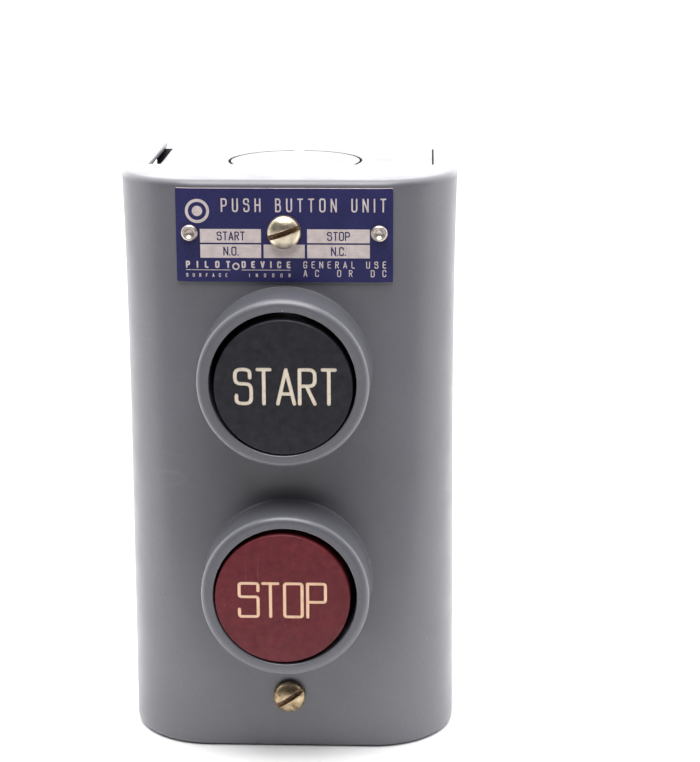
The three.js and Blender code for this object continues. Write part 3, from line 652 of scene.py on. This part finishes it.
# ---- lettering
# Each glyph is a width and its strokes on a body one unit high. A stroke is a list of corners,
# and its corners are rounded when it is drawn. "s" is the wide S of the STOP cap.
LETTERS = {
    "A": (0.49, [[(0, 0), (0.245, 1)], [(0.245, 1), (0.49, 0)], [(0.08, 0.29), (0.41, 0.29)]]),
    "B": (0.46, [[(0, 0), (0, 1)], [(0, 1), (0.42, 1), (0.42, 0.55), (0, 0.55)],
                 [(0, 0.55), (0.46, 0.55), (0.46, 0), (0, 0)]]),
    "C": (0.46, [[(0.46, 0.74), (0.46, 1), (0, 1), (0, 0), (0.46, 0), (0.46, 0.26)]]),
    "D": (0.47, [[(0, 0), (0, 1)], [(0, 1), (0.47, 1), (0.47, 0), (0, 0)]]),
    "E": (0.42, [[(0.42, 1), (0, 1), (0, 0), (0.42, 0)], [(0, 0.53), (0.34, 0.53)]]),
    "F": (0.42, [[(0.42, 1), (0, 1), (0, 0)], [(0, 0.53), (0.34, 0.53)]]),
    "G": (0.47, [[(0.47, 0.76), (0.47, 1), (0, 1), (0, 0), (0.47, 0), (0.47, 0.46), (0.27, 0.46)]]),
    "H": (0.47, [[(0, 0), (0, 1)], [(0.47, 0), (0.47, 1)], [(0, 0.52), (0.47, 0.52)]]),
    "I": (0.0, [[(0, 0), (0, 1)]]),
    "L": (0.40, [[(0, 1), (0, 0), (0.40, 0)]]),
    "N": (0.48, [[(0, 0), (0, 1)], [(0, 1), (0.48, 0)], [(0.48, 0), (0.48, 1)]]),
    "O": (0.50, [[(0.25, 1), (0.50, 1), (0.50, 0), (0, 0), (0, 1), (0.25, 1)]]),
    "P": (0.48, [[(0, 0), (0, 1)], [(0, 1), (0.48, 1), (0.48, 0.45), (0, 0.45)]]),
    "R": (0.44, [[(0, 0), (0, 1)], [(0, 1), (0.44, 1), (0.44, 0.52), (0, 0.52)],
                 [(0.2, 0.52), (0.44, 0)]]),
    "S": (0.51, [[(0.47, 0.76), (0.47, 1), (0, 1), (0, 0.58), (0.51, 0.58), (0.51, 0), (0.04, 0),
                  (0.04, 0.24)]]),
    "s": (0.585, [[(0.585, 0.78), (0.585, 1), (0, 1), (0, 0.595), (0.585, 0.595), (0.585, 0), (0, 0),
                   (0, 0.22)]]),
    "T": (0.46, [[(0, 1), (0.46, 1)], [(0.23, 1), (0.23, 0)]]),
    "U": (0.47, [[(0, 1), (0, 0), (0.47, 0), (0.47, 1)]]),
    "V": (0.48, [[(0, 1), (0.24, 0)], [(0.24, 0), (0.48, 1)]]),
    ".": (0.0, [[(0, 0), (0, 0.04)]]),
    " ": (0.30, []),
}


def rounded(points, radius):
    """The points with each corner replaced by a short curve that starts radius before it."""
    straight = 0.05  # radians
    longest = 0.48  # share of a segment, so that the curves at its two ends never meet
    steps = 4
    result = [points[0]]
    for before, corner, after in zip(points, points[1:], points[2:]):
        a, b, c = Vector(before), Vector(corner), Vector(after)
        turn = (b - a).angle(c - b)
        if turn < straight:
            result.append(corner)
            continue
        start = b + (a - b).normalized() * min(radius, (a - b).length * longest)
        end = b + (c - b).normalized() * min(radius, (c - b).length * longest)
        for i in range(steps + 1):
            t = i / steps
            result.append(tuple(start * (1 - t) ** 2 + b * 2 * t * (1 - t) + end * t**2))
    result.append(points[-1])
    return result


def stroke_outline(points, half):
    """Outer and inner outline of a pen line. Only a line that closes on itself has an inner one."""
    sharpest = 0.35  # keeps a sharp corner's tip short
    end_steps = 4  # mesh steps of a quarter of a line's round end
    line = [Vector(p) for p in points]
    closed = (line[0] - line[-1]).length < TINY
    if closed:
        line = line[:-1]
    count = len(line)
    left, right = [], []
    for i, p in enumerate(line):
        before = line[i - 1] if closed or i > 0 else None
        after = line[(i + 1) % count] if closed or i < count - 1 else None
        d1 = (p - before).normalized() if before is not None else None
        d2 = (after - p).normalized() if after is not None else None
        d1, d2 = d1 or d2, d2 or d1
        mid = (d1 + d2).normalized() if (d1 + d2).length > TINY else d1
        normal = Vector((-mid.y, mid.x))
        reach = half / max(sharpest, normal.dot(Vector((-d1.y, d1.x))))
        left.append(p + normal * reach)
        right.append(p - normal * reach)
    if closed:
        return left, right
    turns = [math.pi / 2 * (1 - k / end_steps) for k in range(1, 2 * end_steps)]
    ends = []
    for point, direction in ((line[-1], line[-1] - line[-2]), (line[0], line[0] - line[1])):
        angle = math.atan2(direction.y, direction.x)
        ends.append([point + Vector((math.cos(angle + t), math.sin(angle + t))) * half for t in turns])
    return left + ends[0] + list(reversed(right)) + ends[1], None


def add_prism(bm, outline, inner, place, back, front):
    """A closed prism from a flat outline. place(u, v, lift) gives its points in the frame."""
    def ring(points, lift):
        return [bm.verts.new(place(p[0], p[1], lift)) for p in points]

    outer_back, outer_front = ring(outline, back), ring(outline, front)
    join_rings(bm, [outer_back, outer_front])
    if inner is None:
        bm.faces.new(outer_front)
        bm.faces.new(list(reversed(outer_back)))
        return
    inner_back, inner_front = ring(inner, back), ring(inner, front)
    count = len(outline)
    for i in range(count):
        j = (i + 1) % count
        bm.faces.new((inner_back[j], inner_back[i], inner_front[i], inner_front[j]))
        bm.faces.new((outer_front[i], outer_front[j], inner_front[j], inner_front[i]))
        bm.faces.new((outer_back[j], outer_back[i], inner_back[i], inner_back[j]))


def add_slab(bm, columns, place, back, front, front_material=0):
    """A closed slab made of upright strips, from (u, low, high) columns, so that it can be bent."""
    loops = []
    for u, low, high in columns:
        corners = ((low, back), (high, back), (high, front), (low, front))
        loops.append([bm.verts.new(place(u, v, lift)) for v, lift in corners])
    front_side = 2  # the side between a strip's two front corners
    for near, far in zip(loops, loops[1:]):
        for k in range(4):
            j = (k + 1) % 4
            face = bm.faces.new((near[k], far[k], far[j], near[j]))
            if k == front_side:
                face.material_index = front_material
    for end in (loops[0], loops[-1]):
        bm.faces.new(end)


def glyph_widths(words):
    return sum(LETTERS[character][0] for character in words)


class Pen:
    """Draws letters, bars and rings as thin closed solids on a surface."""

    def __init__(self, bm, place, back, front):
        self.bm = bm
        self.place = place
        self.back = back
        self.front = front
        self.count = 0

    def next_front(self):
        """Crossing strokes differ in height by a hair, so that no two faces coincide."""
        hair, heights = 0.0006, 9
        self.count += 1
        return self.front + hair * (self.count % heights)

    def solid(self, outline, inner=None):
        add_prism(self.bm, outline, inner, self.place, self.back, self.next_front())

    def line(self, points, half):
        outline, inner = stroke_outline(points, half)
        self.solid(outline, inner)

    def bar(self, left, right, foot, top):
        strip = 2.0
        pieces = max(1, round((right - left) / strip))
        columns = [(left + (right - left) * i / pieces, foot, top) for i in range(pieces + 1)]
        add_slab(self.bm, columns, self.place, self.back, self.next_front())

    def glyph(self, character, at, foot, body, stretch, corner, half):
        """One character, body high and stretched sideways. corner is a share of the body."""
        for stroke in LETTERS[character][1]:
            points = [(at + px * stretch * body, foot + py * body) for px, py in stroke]
            self.line(rounded(points, corner * body), half)

    def text(self, words, u, v, height, nib, corner, gap=0.0, width=None, stretch=1.0):
        """Writes words from u, with their foot at v. A given width sets the gaps between letters."""
        body = height - nib
        if width is not None:
            gap = (width - nib - glyph_widths(words) * body * stretch) / (len(words) - 1)
        at = u + nib / 2
        for character in words:
            self.glyph(character, at, v + nib / 2, body, stretch, corner, nib / 2)
            at += glyph_widths(character) * body * stretch + gap

    def centred(self, words, u, v, height, nib, corner, gap):
        total = glyph_widths(words) * (height - nib) + nib + gap * (len(words) - 1)
        self.text(words, u - total / 2, v, height, nib, corner, gap)


# ---- nameplate
PLATE_GAP = 0.1
PLATE_THICKNESS = 0.5
HEAD_GAP = 0.1  # under the heads of the rivets and cover screws
SEAT_ON_COVER = -HEAD_GAP
SEAT_ON_PLATE = -(PLATE_GAP + PLATE_THICKNESS + HEAD_GAP)


def circle(centre, radius):
    return arc(centre, radius, 0, 360, 40)[:-1]


def on_plate(u, v, lift):
    """A point above the nameplate's back. u is from its middle and v from its foot."""
    return u, y_at(face_depth(u) - PLATE_GAP - lift), span("nameplate", Z)[0] + v


def make_nameplate():
    half_width = span("nameplate", X)[1]
    height = span("nameplate", Z)[1] - span("nameplate", Z)[0]
    corner, corner_steps = 0.25, 4
    columns = []
    for k in range(corner_steps + 1):
        angle = math.radians(90 * k / corner_steps)
        inset = corner * (1 - math.sin(angle))
        columns.append((corner * (1 - math.cos(angle)) - half_width, inset, height - inset))
    right_end = [(-u, low, high) for u, low, high in reversed(columns)]
    steps = 30
    start = columns[-1][0]
    columns += [(start * (1 - 2 * i / steps), 0.0, height) for i in range(1, steps)] + right_end
    bm = bmesh.new()
    add_slab(bm, columns, on_plate, 0.0, PLATE_THICKNESS, front_material=1)
    plate = finish_mesh("nameplate_sheet", bm, ["etched_aluminium", "blue_enamel"], 30)
    cut_with(plate, screw_and_rivet_holes())
    mark_sharp(plate, 30)
    settle(plate, "root", "blue_enamel", "nameplate")
    nameplate_print()
    nameplate_labels()


def screw_and_rivet_holes():
    """Clearance holes for the cover screws and the nameplate's rivets."""
    radii = {"cover_screw_upper": 2.4, "cover_screw_lower": 2.4,
             "nameplate_rivet_left": 1.1, "nameplate_rivet_right": 1.1}
    front, back = -2.5, 3.0
    bm = bmesh.new()
    for node, radius in radii.items():
        outline = [(0, front), (radius, front), (radius, back), (0, back)]
        lathe(bm, outline, middle(node, X), middle(node, Z), sides=32)
    return finish_mesh("holes", bm, [], 30)


def nameplate_print():
    """Bare metal showing through the enamel: words, a ring-and-dot sign, label panels and rules."""
    bm = bmesh.new()
    pen = Pen(bm, on_plate, PLATE_THICKNESS - 0.02, PLATE_THICKNESS + 0.03)
    pen.text("PUSH BUTTON UNIT", -12.7, 14.3, height=2.8, nib=0.3, corner=0.22, width=33.2,
             stretch=0.78)
    sign = (-17.5, 14.5)
    pen.solid(circle(sign, 2.45), circle(sign, 1.85))
    pen.solid(circle(sign, 1.05))
    upper_row, lower_row = (8.05, 10.85), (4.95, 7.7)
    for left, right in ((-17.0, -4.7), (4.6, 17.2)):
        pen.bar(left, right, *upper_row)
        pen.bar(left, right, *lower_row)
    pen.bar(-4.2, 4.1, *lower_row)
    for word, u, width in (("PILOT", -20.0, 9.0), ("DEVICE", -8.7, 9.9)):
        pen.text(word, u, 2.85, height=1.45, nib=0.32, corner=0.2, width=width)
        pen.bar(u, u + width, 2.4, 2.52)
    ring = (-9.85, 3.2)
    pen.solid(circle(ring, 0.75), circle(ring, 0.45))
    for word, u in (("SURFACE", -20.0), ("INDOOR", -7.2)):
        pen.text(word, u, 1.0, height=0.75, nib=0.13, corner=0.2, width=8.4)
    for word, v in (("GENERAL USE", 2.85), ("AC OR DC", 1.1)):
        pen.text(word, 3.8, v, height=1.45, nib=0.18, corner=0.22, width=16.7)
    printed = finish_mesh("nameplate_print", bm, ["etched_aluminium"], 30)
    settle(printed, "root", "nickel")


def nameplate_labels():
    """The words on the two label panels."""
    bm = bmesh.new()
    pen = Pen(bm, on_plate, PLATE_THICKNESS + 0.01, PLATE_THICKNESS + 0.05)
    for words, u in ((("START", "N.O."), -10.8), (("STOP", "N.C."), 10.9)):
        for word, v in zip(words, (8.5, 5.4)):
            pen.centred(word, u, v, height=1.85, nib=0.24, corner=0.22, gap=0.42)
    labels = finish_mesh("nameplate_labels", bm, ["blue_enamel"], 30)
    settle(labels, "root", "blue_enamel")


# ---- rivets and screws
def make_rivet(side):
    node = f"nameplate_rivet_{side}"
    x, z = middle(node, X), middle(node, Z)
    shank, tail, upset, end = 1.0, 1.7, 1.5, 2.3
    # (radius, height over the seat) of the head: its dimple, rolled rim and edge.
    head = [
        (0, 0.16), (0.35, 0.18), (0.62, 0.27), (0.85, 0.5), (0.98, 0.68), (1.12, 0.77), (1.28, 0.79),
        (1.46, 0.72), (1.60, 0.55), (1.68, 0.32), (1.68, 0.06), (1.62, 0),
    ]
    outline = [(radius, SEAT_ON_PLATE - height) for radius, height in head]
    outline += [(shank, SEAT_ON_PLATE), (shank, tail), (upset, tail + 0.15), (upset, end), (0, end)]
    bm = bmesh.new()
    lathe(bm, outline, x, z, sides=48)
    settle(finish_mesh(f"{node}_fine", bm, ["nickel"], 60), "root", "nickel", node)


def make_cover_screw(name, seat, turn, look):
    """An oval-headed screw whose slot is turned by that many degrees."""
    node = f"cover_screw_{name}"
    x, z = middle(node, X), middle(node, Z)
    radius, height, shank, tip = 3.4, 2.6, 2.0, 10.0
    rim, chamfer, point = 1.0, 0.12, 0.6
    slot_length, slot_width, slot_depth = 9, 1.1, 1.3
    dome_steps = 12
    outline = []
    for i in range(dome_steps):
        angle = math.radians(90 * i / dome_steps)
        outline.append((radius * math.sin(angle), seat - rim - (height - rim) * math.cos(angle)))
    outline += [
        (radius - 0.02, seat - 0.95), (radius, seat - 0.75), (radius, seat - chamfer),
        (radius - chamfer, seat), (shank, seat), (shank, tip - point), (shank - point, tip), (0, tip),
    ]
    bm = bmesh.new()
    lathe(bm, outline, x, z, sides=64)
    screw = finish_mesh(f"{node}_fine", bm, [look, "slot_grime"], 35)
    bpy.ops.mesh.primitive_cube_add(size=1, location=(x * MM, y_at(seat - height) * MM, z * MM))
    tool = bpy.context.object
    tool.scale = (slot_length * MM, 2 * slot_depth * MM, slot_width * MM)
    tool.rotation_euler = Euler((0, -math.radians(turn), 0))
    tool.data.materials.append(LOOKS["slot_grime"])
    cut_with(screw, tool)
    bevel(screw, 0.1, angle=50)
    apply_modifiers(screw)
    mark_sharp(screw, 40)
    settle(screw, "root", "brass", node)


# ---- push-buttons
# Each letter has its width as a share of the body, and its distance from the letter before. The
# shift is how far the legend sits off the cap's middle.
LEGENDS = {
    "start": {
        "letters": (("S", 0.458, 0), ("T", 0.350, 1.31), ("A", 0.47, 1.55), ("R", 0.432, 1.07),
                    ("T", 0.354, 1.55)),
        "height": 7.8, "nib": 0.76, "corner": 0.17, "paint": "cream_paint", "shift": (0.4, 0.25),
    },
    "stop": {
        "letters": (("s", 0.535, 0), ("T", 0.43, 1.0), ("O", 0.497, 1.35), ("P", 0.506, 1.14)),
        "height": 7.9, "nib": 0.66, "corner": 0.07, "paint": "peach_paint", "shift": (0.0, -0.25),
    },
}


def draw_legend(bm, legend, x, z, back, front, half):
    """The legend's strokes as solids between two depths, with pen lines of that half width."""
    def on_cap(u, v, lift):
        return x + legend["shift"][0] + u, y_at(-lift), z + legend["shift"][1] + v

    pen = Pen(bm, on_cap, -back, -front)
    body = legend["height"] - legend["nib"]
    total = sum(width * body + gap for _, width, gap in legend["letters"])
    at = -total / 2
    foot = -body / 2
    for character, width, gap in legend["letters"]:
        at += gap
        stretch = width / glyph_widths(character)
        pen.glyph(character, at, foot, body, stretch, legend["corner"], half)
        at += width * body


def make_cap(name, look):
    node = f"{name}_button_cap"
    legend = LEGENDS[name]
    x, z = middle(node, X), middle(node, Z)
    radius = (span(node, X)[1] - span(node, X)[0]) / 2
    face = span(node, Y)[0] - FACE_Y
    back = span(node, Y)[1] - FACE_Y
    skin, wall, boss = face + 3.5, 2.0, 8.0
    socket, socket_end = 5.15, skin - 0.5
    rounding, chamfer = 0.4, 0.3
    engraving, paint_depth = 0.45, 0.1
    rim = arc((radius - rounding, face + rounding), rounding, -90, 0, 6)
    outline = [(0, face)] + rim + [
        (radius, back - chamfer), (radius - chamfer, back), (radius - wall, back),
        (radius - wall, skin), (boss, skin), (boss, back), (socket, back), (socket, socket_end),
        (0, socket_end),
    ]
    bm = bmesh.new()
    lathe(bm, outline, x, z, sides=128)
    cap = finish_mesh(f"{name}_cap_body", bm, [look], 35)
    bm = bmesh.new()
    draw_legend(bm, legend, x, z, face + engraving, face - 0.5, legend["nib"] / 2)
    tool = finish_mesh("legend_tool", bm, [look], 30)
    cut_with(cap, tool, overlapping=True)
    mark_sharp(cap, 35)
    settle(cap, f"{name}_push_button", look, node)

    bm = bmesh.new()
    draw_legend(bm, legend, x, z, face + 0.6, face + paint_depth, legend["nib"] / 2 + 0.02)
    paint = finish_mesh(f"{name}_legend", bm, [legend["paint"]], 30)
    settle(paint, f"{name}_push_button", look)


# ---- springs
def coil(name, node, radius, wire, turns):
    """A coil spring with closed ends, filling the CAD spring's length."""
    dead_turns = 0.8  # closed turns at each end
    dead_pitch = 1.02 * wire
    x, z = middle(node, X), middle(node, Z)
    start, end = (edge - FACE_Y + wire / 2 * sign for edge, sign in zip(span(node, Y), (1, -1)))
    per_turn, around = 36, 10
    count = round((turns + 2 * dead_turns) * per_turn)
    length = end - start
    centres = []
    for i in range(count + 1):
        t = i / per_turn
        live = min(max(t - dead_turns, 0.0), turns) / turns
        dead = min(t, dead_turns) + max(0.0, t - dead_turns - turns)
        depth = start + dead * dead_pitch + live * (length - 2 * dead_turns * dead_pitch)
        angle = 2 * math.pi * t
        side, up = radius * math.cos(angle), radius * math.sin(angle)
        centres.append(Vector((x + side, y_at(depth), z + up)))
    bm = bmesh.new()
    rings = []
    for i, centre in enumerate(centres):
        along = (centres[min(i + 1, count)] - centres[max(i - 1, 0)]).normalized()
        out = Vector((centre.x - x, 0, centre.z - z)).normalized()
        across = along.cross(out).normalized()
        out = across.cross(along)
        rings.append([
            bm.verts.new(centre + (out * math.cos(a) + across * math.sin(a)) * (wire / 2))
            for a in (2 * math.pi * k / around for k in range(around))
        ])
    join_rings(bm, rings)
    bm.faces.new(rings[0])
    bm.faces.new(list(reversed(rings[-1])))
    return finish_mesh(name, bm, ["spring_steel"], 50)


def make_springs(unit):
    node = f"{unit}_return_spring"
    returning = coil(f"{unit}_return_coil", node, radius=4.0, wire=0.9, turns=3.2)
    settle(returning, "root", "spring_steel", node)
    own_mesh(returning)
    node = f"{unit}_contact_spring"
    pressing = coil(f"{unit}_contact_coil", node, radius=5.6, wire=0.7, turns=1.8)
    settle(pressing, f"{unit}_push_button", "spring_steel", node)


# ---- the CAD pieces that stay
def smooth_by_angle():
    """A modifier group that welds a faceted mesh and smooths it but for its sharp edges."""
    weld_distance, sharp_angle = 0.001, 32
    group = bpy.data.node_groups.new("weld_and_smooth", "GeometryNodeTree")
    group.interface.new_socket("Geometry", in_out="INPUT", socket_type="NodeSocketGeometry")
    group.interface.new_socket("Geometry", in_out="OUTPUT", socket_type="NodeSocketGeometry")
    start = group.nodes.new("NodeGroupInput")
    weld = group.nodes.new("GeometryNodeMergeByDistance")
    weld.inputs["Distance"].default_value = weld_distance * MM
    smooth = group.nodes.new("GeometryNodeSetShadeSmooth")
    angle = group.nodes.new("GeometryNodeInputMeshEdgeAngle")
    sharp = group.nodes.new("FunctionNodeCompare")
    sharp.operation = "LESS_THAN"
    sharp.inputs["B"].default_value = math.radians(sharp_angle)
    edges = group.nodes.new("GeometryNodeSetShadeSmooth")
    edges.domain = "EDGE"
    end = group.nodes.new("NodeGroupOutput")
    link = group.links.new
    link(start.outputs["Geometry"], weld.inputs["Geometry"])
    link(weld.outputs["Geometry"], smooth.inputs["Geometry"])
    link(smooth.outputs["Geometry"], edges.inputs["Geometry"])
    link(angle.outputs["Unsigned Angle"], sharp.inputs["A"])
    link(sharp.outputs["Result"], edges.inputs["Shade Smooth"])
    link(edges.outputs["Geometry"], end.inputs["Geometry"])
    return group


def dress_cad_nodes():
    """Material, soft edges and smooth shading for the CAD pieces that no finer mesh stands for."""
    group = smooth_by_angle()
    for part in frame["record"]["subparts"]:
        obj = frame["nodes"][part["node"]]
        look, edge = part["material_slot"], 0.12
        if part["node"] == "back_box":
            look, edge = "base_enamel", 0.25
        obj.data.materials.clear()
        obj.data.materials.append(LOOKS[look])
        modifier = obj.modifiers.new("smooth", "NODES")
        modifier.node_group = group
        bevel(obj, edge, angle=45, flat=True)


# ---- stage, light and camera
# Strengths of the surround. The camera is on its front side.
FRONT_LIGHT = 0.03
SIDE_LIGHT = 1.8
BACK_LIGHT = 2.6
TOP_LIGHT = 1.0
LOW_LIGHT = 0.9  # from below the front edge of the floor


def make_stage():
    floor_front, floor_size = -0.08, 12.0
    bpy.ops.mesh.primitive_plane_add(size=floor_size, location=(0, floor_front + floor_size / 2, 0))
    floor = bpy.context.object
    floor.name = "floor"
    floor.data.materials.append(pale_floor())

    make_surround()
    make_lamp()


def make_lamp():
    """A softbox over the front of the floor, aimed at the case."""
    place, aim = Vector((0.0, -0.2, 0.5)), Vector((0, -0.02, 0.1))
    data = bpy.data.lights.new("overhead", "AREA")
    data.shape = "SQUARE"
    data.size = 0.35
    data.energy = 2.1
    lamp = bpy.data.objects.new("overhead", data)
    lamp.location = place
    lamp.rotation_euler = (aim - place).to_track_quat("-Z", "Y").to_euler()
    bpy.context.scene.collection.objects.link(lamp)
    return lamp


def make_surround():
    """A white room: dim on the camera's side, brightest at the back, and lit from below the floor."""
    world = bpy.data.worlds.new("white_surround")
    bpy.context.scene.world = world
    world.use_nodes = True
    tree = world.node_tree
    place = tree.nodes.new("ShaderNodeTexCoord").outputs["Generated"]
    parts = tree.nodes.new("ShaderNodeSeparateXYZ")
    tree.links.new(place, parts.inputs[0])

    def fade(value, low, high, to_low, to_high):
        node = tree.nodes.new("ShaderNodeMapRange")
        node.interpolation_type = "SMOOTHSTEP"
        tree.links.new(value, node.inputs["Value"])
        set_range(node, low, high, to_low, to_high)
        return node.outputs["Result"]

    def add(first, second):
        node = tree.nodes.new("ShaderNodeMath")
        node.operation = "ADD"
        tree.links.new(first, node.inputs[0])
        tree.links.new(second, node.inputs[1])
        return node.outputs[0]

    sides = fade(parts.outputs["Y"], -0.5, 0.15, FRONT_LIGHT, SIDE_LIGHT)
    back = fade(parts.outputs["Y"], 0.1, 0.9, 0.0, BACK_LIGHT - SIDE_LIGHT)
    top = fade(parts.outputs["Z"], 0.5, 1.0, 0.0, TOP_LIGHT)
    low = fade(parts.outputs["Z"], 0.0, -0.25, 0.0, LOW_LIGHT)
    background = tree.nodes["Background"]
    background.inputs["Color"].default_value = colour(1, 1, 1)
    tree.links.new(add(add(sides, back), add(top, low)), background.inputs["Strength"])


def make_camera():
    data = bpy.data.cameras.new("view")
    data.lens = 95.67
    data.sensor_width = 36
    data.clip_start = 0.01
    data.dof.use_dof = False
    camera = bpy.data.objects.new("view", data)
    place = Vector((28.34, -421.85, 189.2)) * MM
    yaw, pitch, roll = -0.038, 0.262, -0.003
    level = math.cos(pitch)
    forward = Vector((math.sin(yaw) * level, math.cos(yaw) * level, -math.sin(pitch)))
    right = forward.cross(Vector((0, 0, 1))).normalized()
    up = right.cross(forward)
    turned = Matrix((right, up, -forward)).transposed() @ Matrix.Rotation(roll, 3, "Z")
    camera.matrix_world = Matrix.Translation(place) @ turned.to_4x4()
    bpy.context.scene.collection.objects.link(camera)
    bpy.context.scene.camera = camera


# ---- put it together
make_cover()
make_nameplate()
for plate_side in ("left", "right"):
    make_rivet(plate_side)
make_cover_screw("upper", SEAT_ON_PLATE, turn=19.5, look="brass")
make_cover_screw("lower", SEAT_ON_COVER, turn=34.5, look="old_brass")
make_cap("start", "black_phenolic")
make_cap("stop", "red_phenolic")
for unit_name in UNITS:
    make_springs(unit_name)
dress_cad_nodes()
make_stage()
make_camera()
bpy.context.scene.view_settings.view_transform = "Standard"
bpy.context.scene.view_settings.look = "None"
